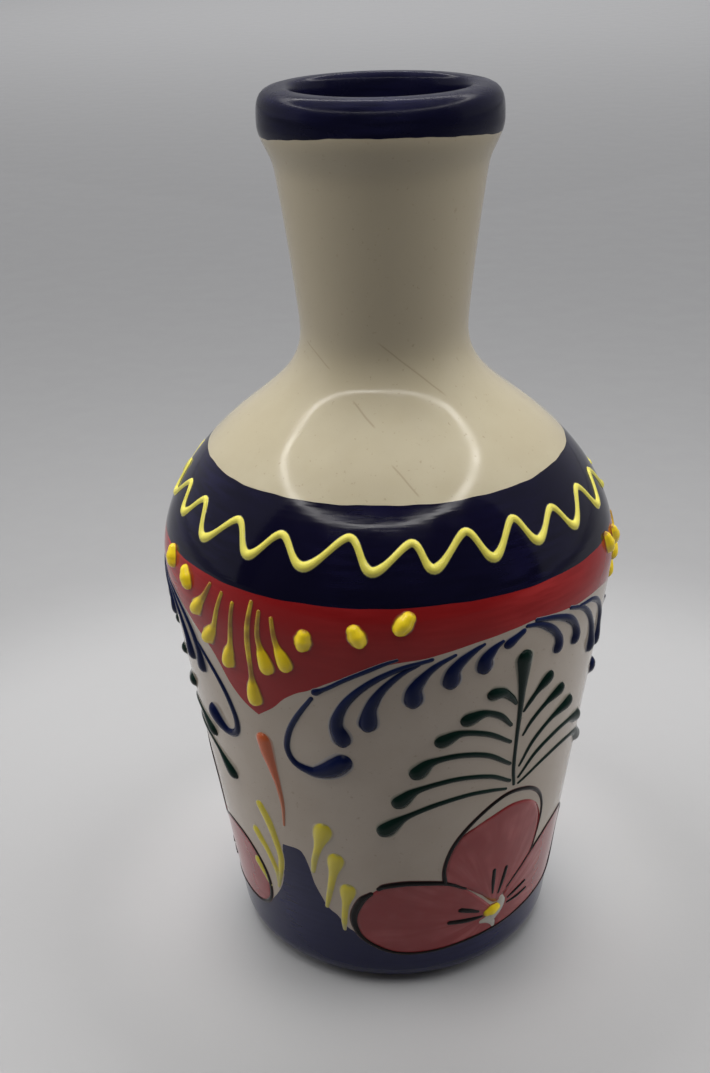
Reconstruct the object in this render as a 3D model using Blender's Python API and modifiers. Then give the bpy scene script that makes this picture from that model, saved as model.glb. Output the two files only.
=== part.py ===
"""Decorated ceramic bottle: a hollow turned vessel with raised glaze beads fused to its wall.

Metres, +Z up. The origin is the middle of the flat foot, and the bottle's axis is Z.
Angles of the decoration run round the axis from -Y, positive towards +X.
"""
import math

import bmesh
import bpy
import numpy as np
from mathutils import Vector
from mathutils.geometry import interpolate_bezier

OBJECT_NAME = "ceramic_bottle"
MM = 0.001

# Vessel: radii, and heights stacked from the foot to the rim
FOOT_RADIUS = 0.0387          # outer edge of the flat foot ring
FOOT_RING_WIDTH = 0.0085
FOOT_RECESS = 0.0025          # hollow under the floor, inside the foot ring
FOOT_ROUNDING = 0.009         # between the foot ring and the wall
WALL_LEAN = math.radians(8.0)
BELLY_RADIUS = 0.064
BELLY_HEIGHT = 0.125
SHOULDER_RADIUS = 0.041       # where the shoulder turns from full to hollow
SHOULDER_RISE = 0.038
SHOULDER_SLOPE = math.radians(51.5)
THROAT_RISE = 0.024
NECK_RADIUS = 0.0228
NECK_LENGTH = 0.043
COLLAR_RADIUS = 0.0279        # top of the neck, under the lip
LIP_FLARE = 0.0115
LIP_RADIUS = 0.0318
RIM_RISE = 0.0085
RIM_INSET = 0.0070            # top of the rolled rim, in from the lip's edge
RIM_FULLNESS = 0.57           # 1 rounds the rim as an ellipse, less squares it
MOUTH_RADIUS = 0.0224
WALL = 0.0045
FLOOR = 0.0065
FLOOR_ROUNDING = 0.006

SHOULDER_HEIGHT = BELLY_HEIGHT + SHOULDER_RISE
NECK_HEIGHT = SHOULDER_HEIGHT + THROAT_RISE
COLLAR_HEIGHT = NECK_HEIGHT + NECK_LENGTH
LIP_HEIGHT = COLLAR_HEIGHT + LIP_FLARE
HEIGHT = LIP_HEIGHT + RIM_RISE

# How full each curve is: the reach of its handles, as a share of the stretch's rise
WALL_STRAIGHTNESS = 0.62
BELLY_FULLNESS = 0.06
SHOULDER_FULLNESS = 0.34
SHOULDER_RUN = 0.48
THROAT_RUN = 0.58
THROAT_TURN = 0.42
NECK_TURN = 0.12
NECK_RUN = 0.30
NECK_LEAN = math.radians(9.0)
LIP_TURN = 0.35
TURNING_STEPS = 48
BEND_POINTS = 4               # of the bend between the floor and the wall
RIM_POINTS = 6                # of each half of the rolled rim
MERGE_DISTANCE = 0.01 * MM

# Beads
CLEARANCE = 0.0003            # between a bead and the wall it sits on
THICK_RELIEF = 0.40           # a bead's height as a share of its width
THIN_RELIEF = 0.30
BEAD_SIDES_RESOLUTION = 1
WELD_DISTANCE = 0.002 * MM
BEAD_STEP = 0.0065            # the longest straight stretch of a bead
END_STEPS = (0.75,)           # rings that round a bead's end, as shares of its half width

# The pattern is drawn on a wall of these heights and stretched to the vessel's own
DRAWN_BELLY = 125.0
DRAWN_SHOULDER = 38.0
POINT_ANGLES = (-36.0, 100.0, 208.5)     # the points of the red band
POINT_SHARES = ((1.0, 1.0), (0.96, 0.84), (0.9, 0.86))   # how far the sides of each are drawn in
FLOWER_ANGLES = (35.0, 158.5, 268.5)     # one flower after each point; the first is as drawn
DRAWN_ROOM = (71.0, 56.5)                # the room that a flower is drawn for, left and right of it

# Zigzag on the shoulder, as (degrees, millimetres up): the turns, peak and valley by turns
ZIGZAG_HALF_WIDTH = 0.9
ZIGZAG_BACK_WAVES = 12
ZIGZAG_PEAK = 148.2
ZIGZAG_VALLEY = 141.6
ZIGZAG_LEAN = 0.14            # peaks stand late in their wave, as a share of it
ZIGZAG_START = (97.0, 142.6)
ZIGZAG_FRONT = [
    (-69.0, 142.3), (-60.5, 148.3), (-54.0, 140.9), (-43.5, 148.0), (-37.0, 141.4),
    (-28.5, 147.6), (-21.0, 141.5), (-10.0, 148.7), (-4.0, 141.5), (6.0, 147.5), (11.0, 141.6),
    (20.5, 148.6), (26.5, 142.0), (35.0, 149.0), (40.5, 142.7), (49.5, 148.0), (55.5, 141.8),
    (65.5, 148.2), (72.0, 141.2), (81.0, 147.0), (87.5, 140.8),
]

# Beads at each point of the red band: degrees from the point, millimetres up, half width in mm
DRIPS = [
    [(-11.3, 131.0, 0.6), (-14.0, 126.0, 0.8), (-17.3, 122.0, 2.0)],
    [(-7.0, 130.0, 0.6), (-10.2, 120.5, 0.7), (-13.7, 115.0, 2.2)],
    [(-3.3, 128.5, 0.6), (-5.0, 118.5, 0.7), (-7.0, 110.5, 2.2)],
    [(2.4, 130.5, 0.6), (0.5, 120.0, 0.7), (0.0, 109.0, 0.8), (-0.2, 102.0, 2.4)],
    [(4.6, 128.5, 0.6), (3.9, 121.0, 0.7), (5.3, 113.7, 2.2)],
    [(8.0, 127.5, 0.6), (8.7, 121.5, 0.7), (10.5, 115.2, 2.1)],
]
DOTS = [(-31.0, 131.0), (-21.5, 129.0), (16.2, 123.5), (28.5, 126.0), (39.3, 129.4)]
DOT_HALF_WIDTH = 2.2
DOT_STRETCH = 1.0             # a dot's centre line, in mm
DROP_STROKE = [(-0.3, 86.0, 1.7), (0.8, 80.0, 1.2), (2.4, 73.0, 0.9), (2.9, 65.0, 0.7), (2.0, 56.5, 0.5)]
RIGHT_SCROLL = [
    (16.5, 105.0, 0.6), (12.0, 98.0, 0.7), (9.0, 92.0, 0.9), (7.7, 86.0, 1.0), (9.5, 81.7, 1.1),
    (14.0, 80.0, 1.2), (19.0, 81.0, 1.8), (22.5, 84.3, 2.8),
]
LEFT_SCROLL = [
    (-23.0, 110.0, 0.6), (-17.0, 105.0, 0.8), (-12.0, 98.0, 0.9), (-9.5, 91.5, 1.0),
    (-9.3, 87.0, 1.0), (-11.0, 84.0, 1.0), (-15.0, 83.3, 1.4), (-18.7, 86.0, 2.6),
]

# Beads of each flower and its arch: degrees from the flower, millimetres up, half width in mm
COMMAS = [
    [(-25.5, 118.3, 0.6), (-33.0, 116.0, 0.8), (-40.0, 111.5, 0.9), (-45.5, 105.5, 1.1),
     (-48.8, 98.5, 1.6), (-47.7, 93.0, 2.2)],
    [(-20.5, 118.8, 0.6), (-25.5, 114.5, 0.8), (-28.8, 110.0, 1.2), (-29.7, 106.0, 2.2)],
    [(13.0, 121.5, 0.6), (19.0, 118.8, 0.8), (24.5, 113.5, 1.1), (27.5, 107.5, 1.5), (28.3, 103.0, 2.1)],
]
FROND_STEM = [(1.2, 69.4, 0.6), (0.2, 76.0, 0.7), (-0.2, 85.0, 0.7), (-0.4, 95.0, 0.8),
              (-0.8, 104.0, 1.4), (-1.3, 112.5, 2.4)]
FROND_LEAFLETS = [
    [(-9.0, 103.8, 1.9), (-6.0, 103.2, 1.3), (-3.0, 100.0, 0.8), (-0.5, 96.5, 0.6)],
    [(-15.5, 97.3, 2.1), (-11.0, 98.0, 1.4), (-6.5, 95.5, 0.9), (-0.3, 89.0, 0.6)],
    [(-22.0, 91.5, 2.1), (-17.0, 93.0, 1.3), (-10.0, 90.8, 0.8), (-0.2, 83.0, 0.6)],
    [(-28.2, 81.7, 2.3), (-24.5, 84.8, 1.3), (-17.0, 85.5, 0.9), (-9.0, 83.2, 0.8), (0.1, 76.5, 0.6)],
    [(-33.0, 71.7, 2.2), (-27.5, 75.7, 1.2), (-18.0, 77.5, 0.8), (-8.0, 75.6, 0.8), (0.6, 71.3, 0.6)],
    [(-37.0, 61.7, 2.4), (-31.5, 66.0, 1.2), (-23.0, 69.4, 0.8), (-14.0, 70.9, 0.7), (1.0, 70.3, 0.6)],
    [(8.0, 102.5, 1.8), (5.0, 99.5, 1.2), (2.0, 95.5, 0.7), (-0.3, 91.0, 0.6)],
    [(14.0, 95.8, 1.9), (9.0, 93.5, 1.1), (4.3, 90.0, 0.8), (-0.1, 80.0, 0.6)],
    [(20.0, 88.5, 2.0), (12.5, 86.7, 1.1), (6.5, 82.5, 0.8), (0.4, 74.0, 0.6)],
    [(31.0, 77.7, 2.0), (24.0, 80.0, 1.0), (16.0, 80.0, 0.8), (8.0, 77.0, 0.7), (0.8, 72.0, 0.6)],
    [(38.5, 66.7, 2.2), (31.0, 71.5, 1.0), (21.0, 73.6, 0.8), (12.0, 72.8, 0.7), (1.0, 70.0, 0.6)],
]
FLOWER_FOOT = (2.0, 15.1, 0.7)           # the strokes of the petals meet at these places
LEFT_MEETING = (-19.0, 39.3, 0.8)
RIGHT_MEETING = (15.0, 37.8, 0.7)
LEFT_PETAL = [
    (-12.0, 35.5, 0.6), LEFT_MEETING, (-30.0, 41.0, 0.8), (-37.5, 40.3, 0.8), (-44.0, 36.0, 0.9),
    (-48.6, 28.0, 0.9), (-48.4, 23.0, 0.9), (-45.0, 18.3, 0.9), (-36.0, 13.9, 0.8), (-24.0, 13.0, 0.7),
    (-8.0, 14.3, 0.7), FLOWER_FOOT,
]
UPPER_PETAL = [
    LEFT_MEETING, (-19.5, 45.0, 0.7), (-17.8, 51.5, 0.7), (-14.5, 57.0, 0.7), (-9.5, 62.0, 0.7),
    (-4.0, 65.5, 0.7), (1.0, 66.6, 0.7), (7.0, 65.2, 0.7), (12.0, 62.0, 0.7), (15.5, 57.5, 0.7),
    (17.2, 52.0, 0.7), (16.8, 45.5, 0.7), RIGHT_MEETING,
]
RIGHT_PETAL = [
    (5.0, 29.5, 0.6), (10.0, 33.7, 0.7), RIGHT_MEETING, (23.5, 42.2, 0.7), (32.0, 43.2, 0.8),
    (40.0, 41.0, 0.8), (46.5, 35.0, 0.9), (48.6, 28.0, 0.9), (46.0, 21.5, 0.9), (38.0, 17.8, 0.8),
    (24.0, 16.9, 0.7), (12.0, 16.0, 0.7), FLOWER_FOOT,
]

# Colours, roughness
GLAZES = {
    "cream_glaze": ((0.80, 0.76, 0.66), 0.12),
    "yellow_bead": ((0.72, 0.58, 0.06), 0.15),
    "orange_bead": ((0.60, 0.16, 0.05), 0.15),
    "blue_bead": ((0.015, 0.025, 0.13), 0.12),
    "green_bead": ((0.015, 0.06, 0.035), 0.12),
    "black_bead": ((0.02, 0.015, 0.015), 0.15),
}


def glaze(kind):
    """The Principled material of one kind of glaze, made once."""
    known = bpy.data.materials.get(kind)
    if known:
        return known
    colour, roughness = GLAZES[kind]
    material = bpy.data.materials.new(kind)
    material.use_nodes = True
    shader = material.node_tree.nodes["Principled BSDF"]
    shader.inputs["Base Color"].default_value = (*colour, 1.0)
    shader.inputs["Roughness"].default_value = roughness
    shader.inputs["Metallic"].default_value = 0.0
    return material


def bezier(start, start_handle, end_handle, end, count):
    """Points of one cubic stretch in the (radius, height) plane."""
    knots = [Vector((p[0], 0.0, p[1])) for p in (start, start_handle, end_handle, end)]
    return [(p.x, p.z) for p in interpolate_bezier(*knots, count)]


def quarter(start, end, count, rises_first, fullness=1.0):
    """A quarter turn between two points, upright at one end and level at the other."""
    points = []
    for turn in np.linspace(0.0, math.pi / 2, count):
        level, upright = 1.0 - abs(math.cos(turn)) ** fullness, math.sin(turn) ** fullness
        across, up = (level, upright) if rises_first else (upright, level)
        points.append((start[0] + (end[0] - start[0]) * across, start[1] + (end[1] - start[1]) * up))
    return points


def lean(point, angle, reach):
    """The point at some reach from another, along a line leaning outwards by an angle."""
    return (point[0] + reach * math.sin(angle), point[1] + reach * math.cos(angle))


def outer_side(detail):
    """The outside of the wall from the foot ring up to the lip's edge, as (radius, height).

    The detail multiplies the straight steps of each stretch.
    """
    corner = []
    for turn in np.linspace(-math.pi / 2, -WALL_LEAN, 2 + detail):
        corner.append((FOOT_RADIUS + FOOT_ROUNDING * math.cos(turn),
                       FOOT_ROUNDING + FOOT_ROUNDING * math.sin(turn)))
    foot = corner[-1]
    belly = (BELLY_RADIUS, BELLY_HEIGHT)
    shoulder = (SHOULDER_RADIUS, SHOULDER_HEIGHT)
    neck = (NECK_RADIUS, NECK_HEIGHT)
    collar = (COLLAR_RADIUS, COLLAR_HEIGHT)
    lip = (LIP_RADIUS, LIP_HEIGHT)
    wall = bezier(foot, lean(foot, WALL_LEAN, WALL_STRAIGHTNESS * BELLY_HEIGHT),
                  lean(belly, 0.0, -BELLY_FULLNESS * BELLY_HEIGHT), belly, 1 + 4 * detail)
    full = bezier(belly, lean(belly, 0.0, SHOULDER_FULLNESS * SHOULDER_RISE),
                  lean(shoulder, -SHOULDER_SLOPE, -SHOULDER_RUN * SHOULDER_RISE), shoulder, 1 + 5 * detail)
    hollow = bezier(shoulder, lean(shoulder, -SHOULDER_SLOPE, THROAT_RUN * THROAT_RISE),
                    lean(neck, 0.0, -THROAT_TURN * THROAT_RISE), neck, 1 + 4 * detail)
    rise = bezier(neck, lean(neck, 0.0, NECK_TURN * NECK_LENGTH),
                  lean(collar, NECK_LEAN, -NECK_RUN * NECK_LENGTH), collar, 1 + 2 * detail)
    flare = bezier(collar, lean(collar, NECK_LEAN, LIP_TURN * LIP_FLARE),
                   lean(lip, 0.0, -LIP_TURN * LIP_FLARE), lip, 1 + 2 * detail)
    return corner + wall[1:] + full[1:] + hollow[1:] + rise[1:] + flare[1:]


def outward(points):
    """The outward normal at each point of a side that runs upwards."""
    side = np.array(points)
    along = np.gradient(side, axis=0)
    along /= np.linalg.norm(along, axis=1)[:, None]
    return np.stack([along[:, 1], -along[:, 0]], axis=1)


def vessel_profile():
    """The whole section: up the inside from the floor's middle, over the rim, down to the foot."""
    outside = outer_side(1)
    offset = np.array(outside) - WALL * outward(outside)
    bend = FLOOR + FLOOR_ROUNDING
    wall_foot = (float(np.interp(bend, offset[:, 1], offset[:, 0])), bend)
    inside = [wall_foot] + [tuple(p) for p in offset if bend < p[1] < COLLAR_HEIGHT]
    floor_edge = (wall_foot[0] - FLOOR_ROUNDING, FLOOR)
    inner_bend = quarter(floor_edge, wall_foot, BEND_POINTS, False)
    rim = (LIP_RADIUS - RIM_INSET, HEIGHT)
    mouth = (MOUTH_RADIUS, LIP_HEIGHT)
    over_rim = quarter(mouth, rim, RIM_POINTS, True, RIM_FULLNESS)
    down_lip = quarter(outside[-1], rim, RIM_POINTS, True, RIM_FULLNESS)[::-1]
    ring = FOOT_RADIUS - FOOT_RING_WIDTH
    under = [(ring, 0.0), (ring - FOOT_RECESS, FOOT_RECESS), (0.0, FOOT_RECESS)]
    return [(0.0, FLOOR)] + inner_bend[:-1] + inside + over_rim + down_lip[1:] + outside[-2::-1] + under


class Wall:
    """The outer surface measured along its section: places beads on it."""

    def __init__(self):
        self.side = np.array(outer_side(16))
        steps = np.linalg.norm(np.diff(self.side, axis=0), axis=1)
        self.length = np.concatenate([[0.0], np.cumsum(steps)])
        self.normal = outward(self.side)

    def along(self, up):
        """Distance along the section at a height of the drawn pattern, in millimetres."""
        if up <= DRAWN_BELLY:
            height = up / DRAWN_BELLY * BELLY_HEIGHT
        else:
            height = BELLY_HEIGHT + (up - DRAWN_BELLY) / DRAWN_SHOULDER * SHOULDER_RISE
        return float(np.interp(height, self.side[:, 1], self.length))

    def radius(self, along):
        return float(np.interp(along, self.length, self.side[:, 0]))

    def point(self, angle, along, lift):
        """The place at an angle and a distance along the section, lifted off the wall."""
        radius, height = (np.interp(along, self.length, self.side[:, k]) for k in (0, 1))
        out, up = (np.interp(along, self.length, self.normal[:, k]) for k in (0, 1))
        radius += lift * out
        return Vector((radius * math.sin(angle), -radius * math.cos(angle), height + lift * up))


WALL_SURFACE = Wall()


def smooth(points):
    """A Catmull-Rom curve through the points, in steps short enough to follow the wall."""
    knots = np.array(points, dtype=float)
    ends = np.vstack([2 * knots[0] - knots[1], knots, 2 * knots[-1] - knots[-2]])
    out = []
    for k in range(len(knots) - 1):
        a, b, c, d = ends[k:k + 4]
        steps = math.ceil(np.linalg.norm((c - b)[:2]) / BEAD_STEP)
        for t in np.arange(steps) / steps:
            out.append(0.5 * (2 * b + (c - a) * t + (2 * a - 5 * b + 4 * c - d) * t ** 2
                              + (3 * b - a - 3 * c + d) * t ** 3))
    out.append(knots[-1])
    return np.array(out)


def rounded(path):
    """A flat path of (x, y, half width) with small rings added that round both its ends."""
    head, tail = [], []
    for end, inner, rings in ((path[0], path[1], head), (path[-1], path[-2], tail)):
        away = end[:2] - inner[:2]
        away /= np.linalg.norm(away)
        for share in END_STEPS:
            width = end[2] * math.sqrt(1.0 - share * share)
            rings.append(np.array([*(end[:2] + away * end[2] * share), width]))
    return np.vstack([head[::-1], path, tail])


def flat_bead(points, reference):
    """A bead's mesh laid flat: x round the vessel, y along its section, z off the wall."""
    laid = []
    for degrees, up, half_width in points:
        laid.append((math.radians(degrees) * reference, WALL_SURFACE.along(up), half_width * MM))
    path = rounded(smooth(laid))
    curve = bpy.data.curves.new("bead", "CURVE")
    curve.dimensions = "3D"
    curve.bevel_depth = MM
    curve.bevel_resolution = BEAD_SIDES_RESOLUTION
    curve.use_fill_caps = True
    spline = curve.splines.new("POLY")
    spline.points.add(len(path) - 1)
    for knot, (x, y, half_width) in zip(spline.points, path):
        knot.co = (x, y, half_width, 1.0)
        knot.radius = half_width / MM
    holder = bpy.data.objects.new("bead", curve)
    bpy.context.scene.collection.objects.link(holder)
    mesh = bpy.data.meshes.new_from_object(holder.evaluated_get(bpy.context.evaluated_depsgraph_get()))
    bpy.data.objects.remove(holder)
    bpy.data.curves.remove(curve)
    weld(mesh)
    return mesh


def weld(mesh):
    """Closes a mesh's loose caps and drops faces without area."""
    shape = bmesh.new()
    shape.from_mesh(mesh)
    bmesh.ops.remove_doubles(shape, verts=shape.verts, dist=WELD_DISTANCE)
    bmesh.ops.dissolve_degenerate(shape, edges=shape.edges, dist=WELD_DISTANCE)
    bmesh.ops.recalc_face_normals(shape, faces=shape.faces)
    shape.to_mesh(mesh)
    shape.free()


def joined(meshes):
    """One closed mesh from several that run into each other."""
    holders = []
    for mesh in meshes:
        holder = bpy.data.objects.new("stroke", mesh)
        bpy.context.scene.collection.objects.link(holder)
        holders.append(holder)
    for other in holders[1:]:
        union = holders[0].modifiers.new("union", "BOOLEAN")
        union.operation = "UNION"
        union.solver = "EXACT"
        union.object = other
    graph = bpy.context.evaluated_depsgraph_get()
    result = bpy.data.meshes.new_from_object(holders[0].evaluated_get(graph))
    for holder in holders:
        bpy.data.objects.remove(holder)
    weld(result)
    return result


def point_places():
    """Where the points' beads go: the angle, and how far each side narrows."""
    return [(angle, *shares) for angle, shares in zip(POINT_ANGLES, POINT_SHARES)]


def flower_places():
    """Where the flowers go: the angle, and how far each side narrows to the room it has."""
    places = [(FLOWER_ANGLES[0], 1.0, 1.0)]
    turn = POINT_ANGLES + (POINT_ANGLES[0] + 360.0,)
    for number, angle in enumerate(FLOWER_ANGLES[1:], 1):
        left, right = angle - turn[number], turn[number + 1] - angle
        places.append((angle, left / DRAWN_ROOM[0], right / DRAWN_ROOM[1]))
    return places


def add_part(name, mesh, kind, collection):
    """A named object of the bottle, with its glaze."""
    part = bpy.data.objects.new(name, mesh)
    mesh.materials.clear()
    mesh.materials.append(glaze(kind))
    mesh.shade_smooth()
    collection.objects.link(part)
    return part


def wrap(name, flat, place, reference, relief, kind, collection):
    """Bends a flat bead round the vessel at its place, just clear of the wall, and adds it."""
    centre, left_share, right_share = place
    mesh = flat.copy()
    mesh.name = name
    for vertex in mesh.vertices:
        x, y, z = vertex.co
        angle = math.radians(centre) + x / reference * (left_share if x < 0.0 else right_share)
        vertex.co = WALL_SURFACE.point(angle, y, CLEARANCE + relief * z)
    add_part(name, mesh, kind, collection)


def add_body(collection):
    """The turned vessel, open at the mouth, with a flat foot ring round a shallow recess."""
    profile = vessel_profile()
    mesh = bpy.data.meshes.new("bottle_body")
    mesh.from_pydata([(r, 0.0, z) for r, z in profile], [(k, k + 1) for k in range(len(profile) - 1)], [])
    body = add_part("bottle_body", mesh, "cream_glaze", collection)
    screw = body.modifiers.new("turning", "SCREW")
    screw.axis = "Z"
    screw.angle = 2 * math.pi
    screw.steps = TURNING_STEPS
    screw.render_steps = TURNING_STEPS
    screw.use_merge_vertices = True
    screw.merge_threshold = MERGE_DISTANCE
    screw.use_smooth_shade = True


def zigzag_turns():
    """The zigzag from its start at the right, round the back and along the front to its end."""
    start = ZIGZAG_START[0] - 360.0
    wave = (ZIGZAG_FRONT[0][0] - start) / ZIGZAG_BACK_WAVES
    turns = [(start, ZIGZAG_START[1])]
    for k in range(ZIGZAG_BACK_WAVES):
        turns.append((start + wave * (k + 0.5 + ZIGZAG_LEAN), ZIGZAG_PEAK))
        turns.append((start + wave * (k + 1), ZIGZAG_VALLEY))
    return turns[:-1] + ZIGZAG_FRONT


def add_zigzag(collection):
    reference = WALL_SURFACE.radius(WALL_SURFACE.along((ZIGZAG_PEAK + ZIGZAG_VALLEY) / 2))
    points = [(degrees, up, ZIGZAG_HALF_WIDTH) for degrees, up in zigzag_turns()]
    flat = flat_bead(points, reference)
    wrap("zigzag_trail", flat, (0.0, 1.0, 1.0), reference, THICK_RELIEF, "yellow_bead", collection)


def reference_radius(strokes):
    """The wall's radius at the middle height of some strokes."""
    heights = [up for stroke in strokes for _, up, _ in stroke]
    return WALL_SURFACE.radius(WALL_SURFACE.along((min(heights) + max(heights)) / 2))


def add_beads(name, strokes, places, relief, kind, collection):
    """A stroke, or strokes that run together, as one bead at each place."""
    reference = reference_radius(strokes)
    flats = [flat_bead(stroke, reference) for stroke in strokes]
    flat = joined(flats) if len(flats) > 1 else flats[0]
    for number, place in enumerate(places, 1):
        wrap(f"{name}_{number}", flat, place, reference, relief, kind, collection)


def add_point_beads(collection):
    """Drips, dots, the orange stroke and the two blue scrolls at each point of the red band."""
    places = point_places()
    for k, drip in enumerate(DRIPS, 1):
        add_beads(f"yellow_drip_{k}", [drip], places, THICK_RELIEF, "yellow_bead", collection)
    for k, (degrees, up) in enumerate(DOTS, 1):
        dot = [(degrees, up + DOT_STRETCH, DOT_HALF_WIDTH), (degrees, up - DOT_STRETCH, DOT_HALF_WIDTH)]
        add_beads(f"yellow_dot_{k}", [dot], places, THICK_RELIEF, "yellow_bead", collection)
    add_beads("orange_stroke", [DROP_STROKE], places, THIN_RELIEF, "orange_bead", collection)
    add_beads("blue_scroll_right", [RIGHT_SCROLL], places, THIN_RELIEF, "blue_bead", collection)
    add_beads("blue_scroll_left", [LEFT_SCROLL], places, THIN_RELIEF, "blue_bead", collection)


def add_flower_beads(collection):
    """The frond, the petals' outline and the largest comma strokes of each flower."""
    places = flower_places()
    frond = [FROND_STEM] + FROND_LEAFLETS
    petals = [LEFT_PETAL, UPPER_PETAL, RIGHT_PETAL]
    add_beads("green_frond", frond, places, THIN_RELIEF, "green_bead", collection)
    add_beads("petal_outline", petals, places, THIN_RELIEF, "black_bead", collection)
    for k, comma in enumerate(COMMAS, 1):
        add_beads(f"blue_comma_{k}", [comma], places, THIN_RELIEF, "blue_bead", collection)


def main():
    for old in list(bpy.data.objects):
        bpy.data.objects.remove(old)
    collection = bpy.data.collections.new(OBJECT_NAME)
    bpy.context.scene.collection.children.link(collection)
    add_body(collection)
    add_zigzag(collection)
    add_point_beads(collection)
    add_flower_beads(collection)


main()
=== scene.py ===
"""Looks of the decorated ceramic bottle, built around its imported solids.

Metres, +Z up. Angles of the decoration run round the axis from -Y, positive towards +X.
"""
import math

import bmesh
import bpy
import numpy as np
from mathutils import Matrix, Vector
from mathutils.geometry import interpolate_bezier


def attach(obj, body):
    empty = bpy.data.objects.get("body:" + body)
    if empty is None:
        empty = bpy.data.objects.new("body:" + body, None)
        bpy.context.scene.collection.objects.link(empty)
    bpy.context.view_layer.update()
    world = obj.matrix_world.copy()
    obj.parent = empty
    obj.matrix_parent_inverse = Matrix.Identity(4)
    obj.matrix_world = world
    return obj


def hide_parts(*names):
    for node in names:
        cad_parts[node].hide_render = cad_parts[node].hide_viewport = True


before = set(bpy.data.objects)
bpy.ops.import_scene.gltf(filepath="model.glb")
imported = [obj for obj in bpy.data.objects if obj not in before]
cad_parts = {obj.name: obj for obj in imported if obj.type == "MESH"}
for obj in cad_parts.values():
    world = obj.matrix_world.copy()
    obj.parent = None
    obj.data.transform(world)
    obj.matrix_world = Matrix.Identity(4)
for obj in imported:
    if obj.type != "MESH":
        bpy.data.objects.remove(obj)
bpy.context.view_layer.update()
MM = 0.001

# Vessel, as the solids have it: radii, and heights stacked from the foot to the rim
FOOT_RADIUS = 0.0387
FOOT_RING_WIDTH = 0.0085
FOOT_RECESS = 0.0025
FOOT_ROUNDING = 0.009
WALL_LEAN = math.radians(8.0)
BELLY_RADIUS = 0.064
BELLY_HEIGHT = 0.125
SHOULDER_RADIUS = 0.041
SHOULDER_RISE = 0.038
SHOULDER_SLOPE = math.radians(51.5)
THROAT_RISE = 0.024
NECK_RADIUS = 0.0228
NECK_LENGTH = 0.043
COLLAR_RADIUS = 0.0279
LIP_FLARE = 0.0115
LIP_RADIUS = 0.0318
RIM_RISE = 0.0085
RIM_INSET = 0.0070
RIM_FULLNESS = 0.57  # 1 rounds the rim as an ellipse, less squares it
MOUTH_RADIUS = 0.0224
WALL = 0.0045
FLOOR = 0.0065
FLOOR_ROUNDING = 0.006

SHOULDER_HEIGHT = BELLY_HEIGHT + SHOULDER_RISE
NECK_HEIGHT = SHOULDER_HEIGHT + THROAT_RISE
COLLAR_HEIGHT = NECK_HEIGHT + NECK_LENGTH
LIP_HEIGHT = COLLAR_HEIGHT + LIP_FLARE
HEIGHT = LIP_HEIGHT + RIM_RISE

# How full each curve is: the reach of its handles, as a share of the stretch's rise
WALL_STRAIGHTNESS = 0.62
BELLY_FULLNESS = 0.06
SHOULDER_FULLNESS = 0.34
SHOULDER_RUN = 0.48
THROAT_RUN = 0.58
THROAT_TURN = 0.42
NECK_TURN = 0.12
NECK_RUN = 0.30
NECK_LEAN = math.radians(9.0)
LIP_TURN = 0.35

COLUMNS = 360  # of the vessel's mesh, round the axis
CURVE_POINTS = 48  # of each curved stretch of the section
SAME_PLACE = 0.001 * MM  # points this close are merged
POINT_ANGLES = (-36.0, 100.0, 208.5)  # the points of the red band
POINT_SHARES = ((1.0, 1.0), (0.96, 0.84), (0.9, 0.86))  # how far the sides of each are drawn in
FLOWER_ANGLES = (35.0, 158.5, 268.5)  # one flower after each point; the first is as drawn
DRAWN_ROOM = (71.0, 56.5)  # the room that a flower is drawn for, left and right of it
EXTRA_ROOM = (15.0, 30.0)  # where painted edges take up the first flower's extra room

# Painted edges, as (degrees from the flower, millimetres up), from one point of the red band to the next
RED_EDGE = [
    (-71.0, 94.5), (-66.0, 98.5), (-62.0, 103.0), (-58.0, 106.0), (-55.0, 107.5), (-45.0, 113.5),
    (-35.0, 117.5), (-25.0, 119.3), (-15.0, 121.5), (-5.0, 122.7), (0.0, 123.5), (5.0, 123.3),
    (10.0, 122.5), (15.0, 122.0), (25.0, 120.4), (33.0, 116.6), (40.0, 112.0), (43.0, 109.0),
    (45.0, 106.0), (48.0, 101.0), (52.0, 97.0),
]
BASE_EDGE = [
    (-71.0, 48.6), (-65.0, 48.8), (-63.0, 46.5), (-62.0, 43.0), (-61.0, 37.5), (-59.5, 34.0),
    (-57.0, 29.0), (-54.0, 26.5), (-51.0, 22.5), (-48.5, 21.0), (-45.0, 18.0), (-36.0, 13.9),
    (-24.0, 13.0), (-8.0, 14.3), (2.0, 15.1), (12.0, 16.0), (24.0, 16.9), (38.0, 17.8), (43.5, 20.0),
    (46.0, 22.5), (49.5, 26.5), (52.5, 31.0), (54.5, 36.0), (55.3, 42.0), (55.8, 46.5), (56.2, 48.2),
]
GLAZE_FOOT = 0.7  # level edges, millimetres up
RED_TOP = 133.0
COBALT_TOP = 155.0
LIP_PAINT = 240.1
LIP_PAINT_SWAY = 1.5  # higher at the front and back than at the sides
MOUTH_PAINT = 228.0  # where the lip's paint ends inside the mouth
EDGE_WOBBLE = 0.22
EDGE_STEP = 0.5  # along a painted edge's curve

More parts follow.
